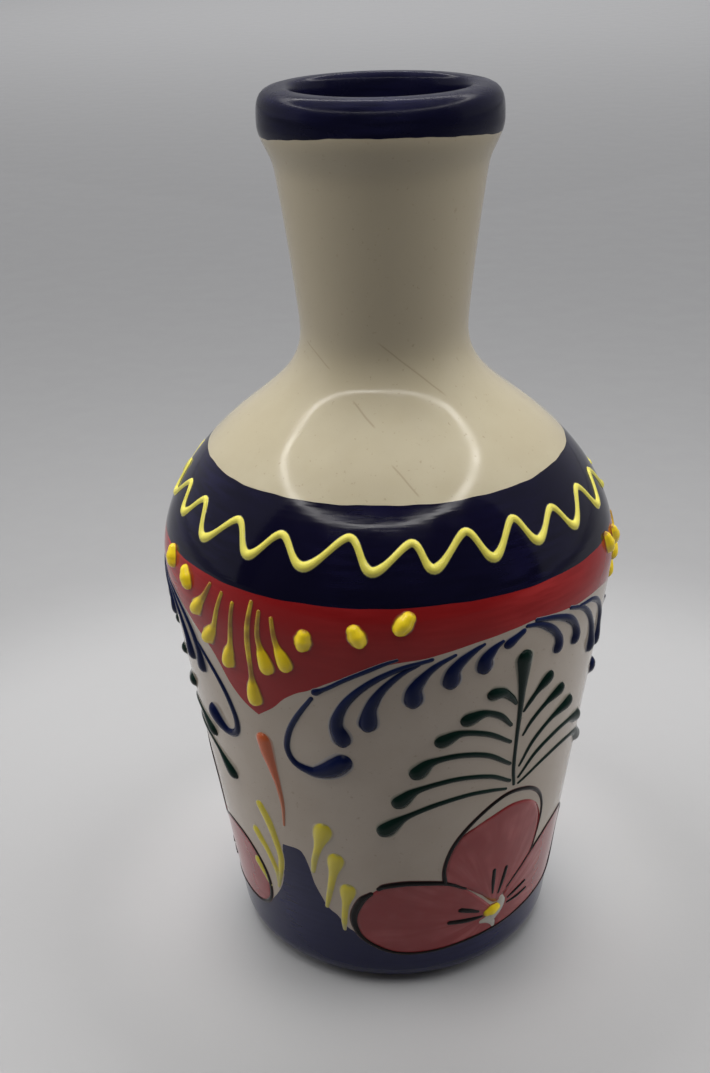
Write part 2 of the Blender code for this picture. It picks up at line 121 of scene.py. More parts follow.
# Beads
SINK = 0.12 * MM  # how deep a bead's skirt lies in the wall
THICK_RELIEF = 0.80  # a bead's height as a share of its half width
THIN_RELIEF = 0.60
FLAT_RELIEF = 0.40
DOT_RELIEF = 0.85
ZIGZAG_RELIEF = 0.55
HEART_RELIEF = 0.25
PATH_STEP = 0.8 * MM
BEAD_ACROSS = (0.0, 0.26, 0.48, 0.65, 0.78, 0.87, 0.97, 1.12, 1.3)  # half its section, in half widths
BEAD_RISE = (1.0, 0.95, 0.82, 0.62, 0.40, 0.22, 0.11, 0.04, 0.0)  # and its height there
BEAD_UNDER = 0.5  # where the edges of its underside lie, in half widths
FULL_GIRTH = 2.0 * MM  # the half width at which a stroke's girth counts as 1
END_SHARES = (0.3, 0.55, 0.75, 0.9, 0.975)  # rings that round a bead's end
END_REACH = 1.05  # of the rounding, in half widths
HEAD_SIZE = 1.12  # a round head's half width, as a share of the one given
HEAD_LINE = 0.6  # a stroke's line, at most this share of the round head at its end
HEAD_REACH = 1.5  # how far a head swells the line, in its own half widths

# Zigzag on the shoulder, as (degrees, millimetres up): the turns, peak and valley by turns
ZIGZAG_AT_VALLEY = 1.35  # half widths
ZIGZAG_AT_PEAK = 1.05
ZIGZAG_ON_SLOPE = 0.9
ZIGZAG_AT_END = 1.7
ZIGZAG_BACK_WAVES = 11
ZIGZAG_PEAK = 148.2
ZIGZAG_VALLEY = 141.6
ZIGZAG_LEAN = 0.14  # peaks stand late in their wave, as a share of it
ZIGZAG_START = [(101.0, 141.4), (108.0, 143.8)]  # a first low wave
ZIGZAG_BACK = 113.2  # where its even waves start
ZIGZAG_STEP = 1.5  # along its curve
ZIGZAG_FRONT = [
    (-69.0, 142.3), (-60.5, 148.3), (-54.0, 140.9), (-43.5, 148.0), (-37.0, 141.4),
    (-28.5, 147.6), (-21.0, 141.5), (-10.0, 148.7), (-4.0, 141.5), (6.0, 147.5), (11.0, 141.6),
    (20.5, 148.6), (26.5, 142.0), (35.0, 149.0), (40.5, 142.7), (49.5, 148.0), (55.5, 141.8),
    (65.5, 148.2), (72.0, 141.0), (81.0, 147.0), (87.5, 140.6),
]

# Beads at each point of the red band: degrees from the point, mm up, half width in mm
DRIPS = [
    [(-11.3, 131.0, 0.6), (-13.2, 127.3, 0.9), (-15.4, 124.3, 1.2), (-17.6, 121.6, 2.0)],
    [(-7.0, 130.0, 0.6), (-9.5, 122.5, 0.8), (-11.0, 118.6, 1.0), (-13.0, 115.8, 2.0),
     (-14.2, 114.3, 2.1)],
    [(-3.3, 128.5, 0.6), (-4.6, 120.5, 0.8), (-5.7, 114.8, 1.0), (-6.8, 111.6, 2.1), (-7.2, 109.8, 2.1)],
    [(2.4, 130.5, 0.6), (0.6, 120.0, 0.9), (0.1, 110.0, 0.8), (0.0, 105.6, 1.1), (-0.1, 102.6, 2.2),
     (0.0, 100.6, 2.3)],
    [(4.6, 128.5, 0.6), (3.8, 121.5, 0.8), (4.2, 117.6, 1.0), (4.9, 114.4, 2.1), (5.3, 112.4, 2.2)],
    [(8.0, 127.5, 0.6), (8.5, 122.0, 0.8), (9.2, 119.0, 1.0), (10.1, 116.4, 2.0), (10.6, 114.6, 2.1)],
]
DOT_SHAPE = [(1.2, 1.95), (0.4, 2.3), (-0.4, 2.4), (-1.1, 2.2)]  # mm up from its middle, half width
DOTS = [  # degrees from the point, mm up, lean in degrees for each mm up
    (-31.0, 131.0, -0.3), (-21.5, 129.0, -0.5), (16.0, 123.1, 0.2), (28.5, 125.8, -0.4),
    (39.3, 129.2, 0.7),
]
DROP_STROKE = [
    (0.2, 86.0, 2.5), (0.6, 82.0, 2.3), (1.5, 77.0, 1.6), (2.4, 71.0, 1.0), (2.8, 64.0, 0.7),
    (2.0, 56.5, 0.4),
]
RIGHT_SCROLL = [
    (16.5, 105.0, 0.6), (12.0, 98.0, 0.8), (9.0, 92.0, 0.9), (7.7, 86.0, 1.0), (9.5, 81.7, 1.2),
    (14.0, 80.0, 1.7), (16.5, 80.3, 2.3), (19.0, 81.4, 2.9), (21.3, 83.0, 3.2), (22.9, 84.5, 3.0),
]
LEFT_SCROLL = [
    (-23.0, 110.3, 0.6), (-18.0, 106.0, 0.8), (-12.6, 99.0, 1.0), (-9.8, 92.0, 1.1), (-9.4, 87.3, 1.2),
    (-10.8, 84.0, 1.2), (-14.2, 82.6, 1.4), (-17.6, 84.0, 1.9), (-20.0, 86.2, 2.6),
]
HEADED_SPRIGS = [
    [(15.3, 58.6, 2.5), (14.2, 55.5, 1.6), (12.9, 51.5, 1.2), (11.2, 46.5, 1.0), (10.2, 42.0, 0.7)],
    [(18.4, 48.4, 2.2), (17.6, 45.3, 1.4), (16.2, 39.5, 1.1), (14.8, 34.0, 0.9), (13.6, 29.4, 0.6)],
    [(21.4, 37.4, 2.1), (20.8, 34.5, 1.3), (19.8, 29.5, 1.0), (19.2, 25.0, 0.9), (19.0, 21.5, 0.5)],
]
PLAIN_SPRIGS = [
    [(-6.7, 60.0, 1.6), (-4.5, 55.5, 1.7), (-2.9, 49.5, 1.4), (-1.9, 42.4, 1.2), (-3.4, 36.0, 1.0),
     (-5.6, 29.8, 0.6)],
    [(-11.3, 48.4, 1.7), (-9.4, 45.6, 1.5), (-7.5, 42.8, 1.3), (-5.0, 35.9, 1.1), (-5.2, 31.5, 0.7)],
    [(-14.2, 35.4, 1.7), (-12.0, 32.0, 1.2), (-9.8, 28.4, 0.7)],
]

# Beads of each flower and its arch: degrees from the flower, mm up, half width in mm
COMMAS = [
    [(-25.5, 118.3, 0.6), (-33.0, 116.0, 0.8), (-40.0, 111.5, 1.0), (-45.8, 105.0, 1.3),
     (-48.6, 98.0, 1.8), (-47.6, 93.0, 2.5)],
    [(-20.0, 118.8, 0.5), (-24.0, 116.5, 0.9), (-27.0, 113.5, 1.3), (-29.4, 109.5, 2.1),
     (-29.7, 106.2, 2.4)],
    [(13.2, 122.0, 0.6), (19.2, 119.2, 0.8), (24.0, 114.6, 1.1), (26.8, 110.0, 1.4), (28.3, 105.6, 1.9),
     (28.7, 102.8, 2.2)],
]
SMALL_COMMAS = [
    [(-53.3, 107.2, 1.0), (-50.0, 109.2, 1.1), (-45.0, 112.7, 0.8), (-37.0, 117.3, 0.6),
     (-33.5, 118.8, 0.4)],
    [(-28.5, 117.0, 0.5), (-32.5, 114.5, 0.8), (-37.0, 109.5, 1.2), (-39.8, 104.0, 1.8),
     (-40.7, 98.6, 2.4)],
    [(-13.0, 120.5, 0.5), (-15.0, 119.4, 0.9), (-18.0, 117.0, 1.5), (-20.2, 114.0, 2.2),
     (-20.7, 111.0, 2.3)],
    [(-8.2, 120.0, 0.6), (-10.2, 118.6, 1.2), (-12.2, 116.0, 2.0), (-12.5, 113.8, 2.2)],
    [(-2.7, 121.2, 1.2), (-4.6, 120.0, 1.7), (-6.3, 118.9, 1.5)],
    [(-1.5, 122.5, 0.6), (2.0, 121.7, 0.9), (5.5, 119.5, 1.2), (8.5, 116.5, 1.5), (10.0, 113.5, 1.8),
     (10.0, 111.5, 1.8)],
    [(1.2, 123.3, 0.6), (7.0, 121.8, 0.9), (12.0, 119.5, 1.2), (15.5, 116.5, 1.5), (17.3, 113.0, 1.9),
     (17.3, 111.0, 1.9)],
    [(17.5, 120.6, 0.6), (24.0, 119.4, 0.8), (29.5, 116.0, 1.0), (33.2, 111.0, 1.3), (34.8, 105.5, 1.8),
     (34.8, 101.5, 2.1)],
]
FROND_STEM = [
    (1.2, 69.4, 0.6), (0.2, 76.0, 0.7), (-0.2, 85.0, 0.7), (-0.4, 95.0, 0.9), (-0.7, 102.0, 1.3),
    (-1.0, 108.0, 2.0), (-1.3, 112.5, 2.6),
]
FROND_LEAFLETS = [
    [(-9.0, 103.8, 1.9), (-6.4, 103.2, 1.2), (-3.8, 100.8, 1.0), (-2.1, 98.4, 0.6)],
    [(-15.5, 97.3, 2.1), (-11.0, 98.0, 1.1), (-6.5, 95.7, 1.0), (-2.8, 91.4, 0.6)],
    [(-22.0, 91.5, 2.1), (-17.0, 93.0, 1.1), (-9.5, 90.6, 0.9), (-2.3, 85.5, 0.6)],
    [(-28.2, 81.7, 2.3), (-24.5, 84.8, 1.2), (-17.0, 85.5, 1.0), (-9.0, 83.2, 0.9), (-1.4, 77.6, 0.6)],
    [(-33.0, 71.7, 2.2), (-28.0, 75.5, 1.1), (-18.0, 77.4, 0.9), (-8.0, 75.6, 0.8), (-0.6, 71.3, 0.6)],
    [(-37.0, 61.7, 2.4), (-31.5, 66.0, 1.1), (-23.0, 69.5, 0.9), (-14.0, 70.9, 0.8), (-7.0, 70.2, 0.7),
     (-1.6, 68.8, 0.5)],
    [(8.0, 102.5, 1.9), (5.0, 99.8, 1.0), (2.6, 97.0, 0.9), (1.0, 94.6, 0.5)],
    [(14.0, 95.8, 1.9), (9.0, 93.6, 1.0), (4.5, 90.0, 0.8), (2.0, 86.2, 0.5)],
    [(20.0, 88.5, 2.1), (12.5, 86.7, 1.0), (6.3, 82.3, 0.8), (2.3, 75.5, 0.5)],
    [(31.0, 77.7, 2.0), (24.0, 80.0, 1.0), (16.0, 80.1, 0.9), (8.3, 77.3, 0.8), (2.6, 71.3, 0.5)],
    [(38.5, 66.7, 2.2), (31.0, 71.5, 0.9), (21.0, 73.6, 0.8), (12.0, 72.6, 0.7), (3.0, 69.0, 0.5)],
]
FLOWER_FOOT = (2.0, 15.1, 0.5)
LEFT_MEETING = (-19.0, 39.3, 0.8)
RIGHT_MEETING = (15.0, 37.8, 0.5)
LEFT_PETAL_TOP = [
    (-12.0, 35.5, 0.5), LEFT_MEETING, (-30.0, 41.0, 1.0), (-37.5, 40.2, 1.0), (-39.8, 39.0, 0.7),
]
LEFT_PETAL_SIDE = [
    (-42.3, 37.0, 0.7), (-45.5, 34.0, 1.1), (-48.3, 28.0, 1.1), (-48.1, 23.0, 0.9), (-45.0, 18.3, 0.7),
    (-36.0, 13.9, 0.6), (-24.0, 13.0, 0.5), (-8.0, 14.3, 0.5), FLOWER_FOOT,
]
UPPER_PETAL = [
    LEFT_MEETING, (-19.5, 45.0, 0.65), (-17.8, 51.5, 0.65), (-14.5, 57.0, 0.65), (-9.5, 62.0, 0.65),
    (-4.0, 65.5, 0.7), (1.0, 66.6, 0.7), (7.0, 65.2, 0.65), (12.0, 62.0, 0.6), (15.5, 57.5, 0.55),
    (17.2, 52.0, 0.5), (16.8, 45.5, 0.5), RIGHT_MEETING,
]
RIGHT_PETAL = [
    (5.0, 29.5, 0.5), (10.0, 33.7, 0.5), RIGHT_MEETING, (23.5, 42.2, 0.45), (32.0, 43.2, 0.45),
    (39.0, 41.0, 0.5), (44.6, 35.0, 0.6), (46.4, 28.0, 0.7), (44.2, 21.5, 0.7), (37.5, 17.6, 0.6),
    (24.0, 16.9, 0.5), (12.0, 16.0, 0.5), FLOWER_FOOT,
]
PETAL_OUTLINES = [LEFT_PETAL_TOP, LEFT_PETAL_SIDE, UPPER_PETAL, RIGHT_PETAL]
STAMENS = [
    [(-1.7, 38.6, 0.8), (-1.5, 34.0, 0.8), (-1.2, 29.8, 0.5)],
    [(3.3, 37.6, 0.8), (2.4, 33.0, 0.8), (1.3, 28.8, 0.5)],
    [(-12.8, 27.1, 0.9), (-9.5, 25.8, 0.8), (-6.2, 24.3, 0.5)],
    [(-16.6, 23.2, 0.8), (-10.0, 22.2, 0.9), (-4.6, 21.7, 0.5)],
    [(16.0, 23.0, 0.6), (11.0, 22.6, 0.7), (6.5, 22.6, 0.5)],
    [(14.5, 26.6, 0.6), (10.0, 25.6, 0.7), (6.5, 24.6, 0.5)],
]
HEART = [
    [(-4.2, 19.6, 0.9), (-1.5, 19.4, 1.5), (0.3, 17.8, 1.2), (1.0, 16.2, 0.8)],
    [(0.2, 19.5, 1.8), (2.2, 21.8, 2.1), (3.3, 24.2, 1.8), (3.0, 26.2, 1.1)],
]
EYE = [[(-2.3, 22.4, 1.4), (-0.6, 22.8, 2.0), (1.0, 23.2, 1.6)]]

# Painted petals: a middle to fill from and an outline, in degrees from the flower and mm up
PETAL_ROOT = (1.0, 22.0)
UPPER_FILL = [  # short of its outline at the top
    (-19.0, 39.3), (-19.3, 45.0), (-17.8, 51.0), (-14.5, 56.0), (-10.0, 58.5), (-5.0, 60.5), (1.0, 62.0),
    (7.0, 61.0), (12.0, 58.0), (15.0, 54.0), (16.8, 49.0), (16.6, 43.0), (15.0, 37.8), (8.0, 31.5),
    (1.0, 25.5), (-6.0, 31.0), (-12.0, 35.5),
]
PETAL_FILLS = [
    ((-24.0, 26.0), [point[:2] for point in LEFT_PETAL_TOP + LEFT_PETAL_SIDE] + [PETAL_ROOT]),
    ((26.0, 28.0), [point[:2] for point in RIGHT_PETAL] + [PETAL_ROOT]),
    ((-1.0, 46.0), UPPER_FILL),
]
FLOWER_HEART = (0.5, 22.5)
FILL_LIFT = 0.05 * MM
FILL_RINGS = 12
FILL_STEP = 1.0 * MM
FILL_UNDER = 0.5  # the ring on a painted area's underside, as a share of its outline
BRUSH_TURNS = 7.0  # brush marks: how fine round the flower's heart
BRUSH_LENGTH = 30.0 * MM  # and how long away from it

# Camera: where it stands and how it is turned, for a frame of 710 by 1073 pixels
FRAME_HEIGHT = 1073
FOCAL_PIXELS = 1462.2
SENSOR = 36.0
CAMERA_PLACE = (0.0, -0.384, 0.2992)
CAMERA_PITCH = math.radians(24.49)
CAMERA_ROLL = math.radians(-1.628)
CAMERA_YAW = math.radians(-1.419)
CLIP_START = 0.01

# Glazes
LEVEL_STREAKS = (1.0, 1.0, 9.0)  # brush marks that run round the vessel
HAIRLINES = [  # fine cracks in the shoulder's glaze, from and to
    ((-4.0, 189.0), (34.0, 174.5)),
    ((-18.0, 174.5), (-5.0, 169.5)),
    ((-64.0, 186.0), (-37.0, 181.0)),
    ((1.5, 162.5), (9.5, 156.5)),
]
NOISE_MIDDLE = (0.3, 0.7)  # where most of a noise's values lie
MARKS_MIDDLE = (0.32, 0.68)  # and those of brush marks
NECK_SHADE_HEIGHTS = (0.166, 0.196)  # painted shade: the heights over which the white glaze darkens up the neck
# how far the neck's painted shade goes, as a share
NECK_SHADE_SHARE = 0.85
SPECK_STRENGTH = 0.35
HAIRLINE_STRENGTH = 0.38
HAIRLINE_EDGES = (0.05 * MM, 0.3 * MM)  # from its middle to where it has faded
HAIRLINE_WAVER = 0.4 * MM
CLAY = (0.38, 0.27, 0.18)
CLAY_GRIT = (0.27, 0.17, 0.10)
CLAY_DUST = (0.44, 0.36, 0.28)

# Stage
FLOOR_SIZE = 16.0
FLOOR_CLOUDS = ((0.51, 0.51, 0.515), (0.49, 0.49, 0.495))
FLOOR_PAINTED_LIGHT = [  # painted light: paler round the bottle, against its shade on the floor, then from and to these distances the floor turns to these darker colours
    (0.06, 0.105, (0.375, 0.375, 0.38)),
    (0.18, 0.28, (0.30, 0.30, 0.305)),
]
RING_HEIGHT = 0.45  # a ring lamp over the bottle
RING_RADIUS = 0.2575
RING_WIDTH = 0.022
RING_CENTRE = (-0.024, -0.009)
RING_STRENGTH = 8.0
RING_COLOUR = (1.0, 0.98, 0.96)
RING_SIDES = 96
CEILING_CENTRE = (-0.02, 0.05)  # a glowing panel over the bottle
CEILING_RADIUS = 0.23
CEILING_HOLE = 0.001
CEILING_LIFT = 0.01  # over the ring
CEILING_STRENGTH = 3.9
CEILING_COLOUR = (1.0, 0.99, 0.97)
FLAG_DISTANCE = 0.55  # a dark panel behind the camera
FLAG_GAP = 0.06  # under it
FLAG_WIDTH = 5.0
FLAG_HEIGHT = 2.4
WORLD_STRENGTH = 0.30
WORLD_COLOUR = (1.0, 1.0, 1.02)
LAMPS = [  # place, what it points at, side of the lamp, power
    ((-1.2, 0.1, 0.6), (0.0, 0.0, 0.12), 1.0, 6.0),
    ((1.2, 0.1, 0.6), (0.0, 0.0, 0.12), 1.0, 6.0),
    ((0.0, 3.4, 2.4), (0.0, 3.4, 0.0), 3.5, 120.0),
]


def bezier(start, start_handle, end_handle, end):
    """Points of one cubic stretch in the (radius, height) plane."""
    knots = [Vector((p[0], 0.0, p[1])) for p in (start, start_handle, end_handle, end)]
    return [(p.x, p.z) for p in interpolate_bezier(*knots, CURVE_POINTS)]


def quarter(start, end, rises_first, fullness=1.0):
    """A quarter turn between two points, upright at one end and level at the other."""
    points = []
    for turn in np.linspace(0.0, math.pi / 2, CURVE_POINTS):
        level, upright = 1.0 - abs(math.cos(turn)) ** fullness, math.sin(turn) ** fullness
        across, up = (level, upright) if rises_first else (upright, level)
        points.append((start[0] + (end[0] - start[0]) * across, start[1] + (end[1] - start[1]) * up))
    return points


def lean(point, angle, reach):
    """The point at some reach from another, along a line leaning outwards by an angle."""
    return (point[0] + reach * math.sin(angle), point[1] + reach * math.cos(angle))


def outer_side():
    """The outside of the wall from the foot ring up to the lip's edge, as (radius, height)."""
    corner = []
    for turn in np.linspace(-math.pi / 2, -WALL_LEAN, CURVE_POINTS):
        corner.append((FOOT_RADIUS + FOOT_ROUNDING * math.cos(turn),
                       FOOT_ROUNDING + FOOT_ROUNDING * math.sin(turn)))
    foot = corner[-1]
    belly = (BELLY_RADIUS, BELLY_HEIGHT)
    shoulder = (SHOULDER_RADIUS, SHOULDER_HEIGHT)
    neck = (NECK_RADIUS, NECK_HEIGHT)
    collar = (COLLAR_RADIUS, COLLAR_HEIGHT)
    lip = (LIP_RADIUS, LIP_HEIGHT)
    wall = bezier(foot, lean(foot, WALL_LEAN, WALL_STRAIGHTNESS * BELLY_HEIGHT),
                  lean(belly, 0.0, -BELLY_FULLNESS * BELLY_HEIGHT), belly)
    full = bezier(belly, lean(belly, 0.0, SHOULDER_FULLNESS * SHOULDER_RISE),
                  lean(shoulder, -SHOULDER_SLOPE, -SHOULDER_RUN * SHOULDER_RISE), shoulder)
    hollow = bezier(shoulder, lean(shoulder, -SHOULDER_SLOPE, THROAT_RUN * THROAT_RISE),
                    lean(neck, 0.0, -THROAT_TURN * THROAT_RISE), neck)
    rise = bezier(neck, lean(neck, 0.0, NECK_TURN * NECK_LENGTH),
                  lean(collar, NECK_LEAN, -NECK_RUN * NECK_LENGTH), collar)
    flare = bezier(collar, lean(collar, NECK_LEAN, LIP_TURN * LIP_FLARE),
                   lean(lip, 0.0, -LIP_TURN * LIP_FLARE), lip)
    return corner + wall[1:] + full[1:] + hollow[1:] + rise[1:] + flare[1:]


def lengths(points):
    """The distance along a line at each of its points."""
    steps = np.linalg.norm(np.diff(np.array(points), axis=0), axis=1)
    return np.concatenate([[0.0], np.cumsum(steps)])


def outward(points):
    """The outward normal at each point of a side that runs upwards."""
    along = np.gradient(np.array(points), lengths(points), axis=0)
    along /= np.linalg.norm(along, axis=1)[:, None]
    return np.stack([along[:, 1], -along[:, 0]], axis=1)


class Wall:
    """The outer surface measured along its section: places beads and paint on it."""

    def __init__(self):
        self.side = np.array(outer_side())
        self.length = lengths(self.side)
        self.normal = outward(self.side)

    def along(self, up):
        """Distance along the section at a height in millimetres."""
        return np.interp(np.asarray(up) * MM, self.side[:, 1], self.length)

    def radius(self, along):
        """The wall's radius at one distance along the section."""
        return float(np.interp(along, self.length, self.side[:, 0]))

    def points(self, angle, along, lift):
        """The places at angles and distances along the section, lifted off the wall."""
        radius, height = (np.interp(along, self.length, self.side[:, k]) for k in (0, 1))
        out, up = (np.interp(along, self.length, self.normal[:, k]) for k in (0, 1))
        radius = radius + lift * out
        return np.stack([radius * np.sin(angle), -radius * np.cos(angle), height + lift * up], axis=-1)


SURFACE = Wall()


def flower_places():
    """Where the flowers go: the angle, and how far each side narrows to the room it has."""
    places = [(FLOWER_ANGLES[0], 1.0, 1.0)]
    turn = POINT_ANGLES + (POINT_ANGLES[0] + 360.0,)
    for number, angle in enumerate(FLOWER_ANGLES[1:], 1):
        left, right = angle - turn[number], turn[number + 1] - angle
        places.append((angle, left / DRAWN_ROOM[0], right / DRAWN_ROOM[1]))
    return places


def placed(degrees, place):
    """Angles round the vessel, in degrees, of angles that are drawn from a place's middle."""
    centre, left_share, right_share = place
    degrees = np.asarray(degrees, dtype=float)
    return centre + degrees * np.where(degrees < 0.0, left_share, right_share)


def smooth(points, step, closed=False):
    """A Catmull-Rom curve through the points, in steps of about the given length."""
    knots = np.array(points, dtype=float)
    if closed:
        ends = np.vstack([knots[-1], knots, knots[0], knots[1]])
    else:
        ends = np.vstack([2 * knots[0] - knots[1], knots, 2 * knots[-1] - knots[-2]])
    out = []
    for k in range(len(ends) - 3):
        a, b, c, d = ends[k:k + 4]
        count = max(2, math.ceil(np.linalg.norm((c - b)[:2]) / step))
        for t in np.arange(count) / count:
            out.append(0.5 * (2 * b + (c - a) * t + (2 * a - 5 * b + 4 * c - d) * t ** 2
                              + (3 * b - a - 3 * c + d) * t ** 3))
    if not closed:
        out.append(knots[-1])
    return np.array(out)


def wobble(angle, number):
    """A small unevenness of a hand-painted edge round the vessel, between about -1 and 1."""
    return (np.sin(5 * angle + 1.7 * number) + 0.7 * np.sin(11 * angle + 2.9 * number)
            + 0.5 * np.sin(23 * angle + 0.8 * number) + 0.3 * np.sin(41 * angle + 4.1 * number)) / 2.0


def painted_edge(drawn, angles, number):
    """The height in millimetres of an edge that repeats with the flowers, at angles in radians."""
    extra = POINT_ANGLES[1] - FLOWER_ANGLES[0] - DRAWN_ROOM[1]
    knots = []
    for place in flower_places():
        for degrees, up in drawn:
            stretch = extra * np.interp(degrees, EXTRA_ROOM, (0.0, 1.0))
            knots.append((float(placed(degrees, place)) + stretch, up))
        extra = 0.0
    knots.append((knots[0][0] + 360.0, knots[0][1]))
    curve = smooth(knots, EDGE_STEP)
    turned = np.degrees(angles)
    turned = np.where(turned < curve[0, 0], turned + 360.0, turned)
    order = np.maximum.accumulate(curve[:, 0])
    return np.interp(turned, order, curve[:, 1]) + EDGE_WOBBLE * wobble(angles, number)


def new_mesh(name, vertices, faces):
    """A smooth-shaded mesh."""
    mesh = bpy.data.meshes.new(name)
    mesh.from_pydata([tuple(v) for v in vertices], [], faces)
    mesh.shade_smooth()
    return mesh


def add_object(name, data):
    """Puts a new object in the scene."""
    thing = bpy.data.objects.new(name, data)
    bpy.context.scene.collection.objects.link(thing)
    return thing


def add_piece(name, mesh, material, nodes):
    """A visible piece that rides on the bottle and stands for some of its solids."""
    piece = add_object(name, mesh)
    if material:
        mesh.materials.append(material)
    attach(piece, "root")
    if nodes:
        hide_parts(*nodes)


def attribute(mesh, name, values, kind="FLOAT", field="value"):
    """Keeps one number or vector for each vertex, for the materials to read."""
    layer = mesh.attributes.new(name, kind, "POINT")
    layer.data.foreach_set(field, np.asarray(values, dtype=np.float32).ravel())


# Materials


class Shader:
    """A material's nodes, added one at a time round its Principled surface."""

    def __init__(self, name):
        self.material = bpy.data.materials.new(name)
        self.material.use_nodes = True
        self.tree = self.material.node_tree
        self.surface = self.tree.nodes["Principled BSDF"]
        self.place = self.add("ShaderNodeTexCoord").outputs["Object"]

    def add(self, kind, **settings):
        node = self.tree.nodes.new(kind)
        for key, value in settings.items():
            setattr(node, key, value)
        return node

    def link(self, source, target):
        self.tree.links.new(source, target)

    def set(self, socket, value):
        self.surface.inputs[socket].default_value = value

    def mapped(self, **settings):
        """Object coordinates, moved, turned or stretched."""
        mapping = self.add("ShaderNodeMapping")
        self.link(self.place, mapping.inputs["Vector"])
        for socket, value in settings.items():
            mapping.inputs[socket].default_value = value
        return mapping.outputs["Vector"]

    def noise(self, scale, detail=3.0, vector=None):
        node = self.add("ShaderNodeTexNoise")
        self.link(vector or self.place, node.inputs["Vector"])
        node.inputs["Scale"].default_value = scale
        node.inputs["Detail"].default_value = detail
        return node.outputs["Fac"]

    def axis(self, vector, name):
        """One coordinate of a vector."""
        node = self.add("ShaderNodeSeparateXYZ")
        self.link(vector, node.inputs["Vector"])
        return node.outputs[name]

    def distance(self, vector):
        """A vector's length."""
        node = self.add("ShaderNodeVectorMath", operation="LENGTH")
        self.link(vector, node.inputs[0])
        return node.outputs["Value"]

    def hairline(self, start, end):
        """A fine crack between two places on the wall, as (degrees, millimetres up): 1 along it."""
        ends = [Vector(SURFACE.points(math.radians(d), SURFACE.along(up), 0.0)) for d, up in (start, end)]
        middle = (ends[0] + ends[1]) / 2
        along = (ends[1] - ends[0]).normalized()
        across = along.cross(Vector((middle.x, middle.y, 0.0))).normalized()
        turn = Matrix((across, along, across.cross(along)))
        place = self.mapped(Rotation=turn.to_euler(), Location=-(turn @ middle))
        waver = self.spread(self.noise(45.0, 2.0), 0.2, 0.8, -HAIRLINE_WAVER, HAIRLINE_WAVER)
        off = self.math("ABSOLUTE", self.math("ADD", self.axis(place, "X"), waver), 0.0)
        half = (ends[1] - ends[0]).length / 2
        inside = self.spread(self.distance(place), 0.8 * half, 1.1 * half, 1.0, 0.0)
        return self.math("MULTIPLY", self.spread(off, *HAIRLINE_EDGES, 1.0, 0.0), inside)

    def spread(self, value, low, high, out_low=0.0, out_high=1.0):
        """A value's range, mapped smoothly to another."""
        node = self.add("ShaderNodeMapRange", interpolation_type="SMOOTHSTEP")
        self.link(value, node.inputs["Value"])
        limits = {"From Min": low, "From Max": high, "To Min": out_low, "To Max": out_high}
        for socket, number in limits.items():
            node.inputs[socket].default_value = number
        return node.outputs["Result"]

    def vary(self, scale, low=0.0, high=1.0, detail=3.0):
        """A number that wanders between two over the surface."""
        return self.spread(self.noise(scale, detail), *NOISE_MIDDLE, low, high)

    def feed(self, socket, value):
        """Sets a socket to a number or a colour, or links it to another socket."""
        if isinstance(value, float):
            socket.default_value = value
        elif isinstance(value, tuple):
            socket.default_value = (*value, 1.0)
        else:
            self.link(value, socket)

    def math(self, operation, first, second):
        node = self.add("ShaderNodeMath", operation=operation)
        self.feed(node.inputs[0], first)
        self.feed(node.inputs[1], second)
        return node.outputs["Value"]

    def mix(self, factor, first, second):
        """A colour between two, which are colours or sockets."""
        node = self.add("ShaderNodeMix", data_type="RGBA")
        self.link(factor, node.inputs[0])
        self.feed(node.inputs[6], first)
        self.feed(node.inputs[7], second)
        return node.outputs[2]

    def read(self, name, kind="Fac"):
        """A number or vector kept on the mesh's vertices."""
        return self.add("ShaderNodeAttribute", attribute_name=name).outputs[kind]

    def finish(self, colour, roughness, height, depth):
        """Joins colour, roughness and a relief of some depth to the surface."""
        self.link(colour, self.surface.inputs["Base Color"])
        self.link(roughness, self.surface.inputs["Roughness"])
        bump = self.add("ShaderNodeBump")
        bump.inputs["Distance"].default_value = depth
        self.link(height, bump.inputs["Height"])
        self.link(bump.outputs["Normal"], self.surface.inputs["Normal"])
        return self.material


def white_glaze(name, pale, deep, speck, thin_and_neck_shade=None, hairlines=()):
    """Opaque white glaze: cloudy, specked, with hairline cracks and a soft ripple, and painted shade up a
    neck.
    """
    shader = Shader(name)
    colour = shader.mix(shader.vary(38.0, detail=4.0), pale, deep)
    # Painted shade: up the neck the colour turns towards its shaded colour
    if thin_and_neck_shade:
        neck_shade = shader.spread(shader.axis(shader.place, "Z"), *NECK_SHADE_HEIGHTS, 0.0, NECK_SHADE_SHARE)
        colour = shader.mix(neck_shade, colour, thin_and_neck_shade)
    fine = shader.spread(shader.noise(900.0, 2.0), 0.66, 0.78)
    colour = shader.mix(shader.math("MULTIPLY", fine, SPECK_STRENGTH), colour, speck)
    for start, end in hairlines:
        crack = shader.math("MULTIPLY", shader.hairline(start, end), HAIRLINE_STRENGTH)
        colour = shader.mix(crack, colour, speck)
    return shader.finish(colour, shader.vary(120.0, 0.11, 0.19), shader.noise(55.0, 2.0), 0.12 * MM)


def brushed_glaze(name, thick, thin_and_neck_shade, roughness, gloss):
    """Coloured glaze brushed on as the vessel turned: level streaks, and thin places."""
    shader = Shader(name)
    brush = shader.mapped(Scale=LEVEL_STREAKS)
    marks = shader.spread(shader.noise(70.0, 5.0, brush), *MARKS_MIDDLE)
    patches = shader.spread(shader.noise(26.0, 2.0), 0.35, 0.75)
    colour = shader.mix(shader.math("MULTIPLY", marks, patches), thick, thin_and_neck_shade)
    shine = shader.vary(140.0, roughness * 0.75, roughness * 1.35)
    shader.set("Specular IOR Level", gloss)
    return shader.finish(colour, shine, shader.noise(60.0, 2.0, brush), 0.04 * MM)


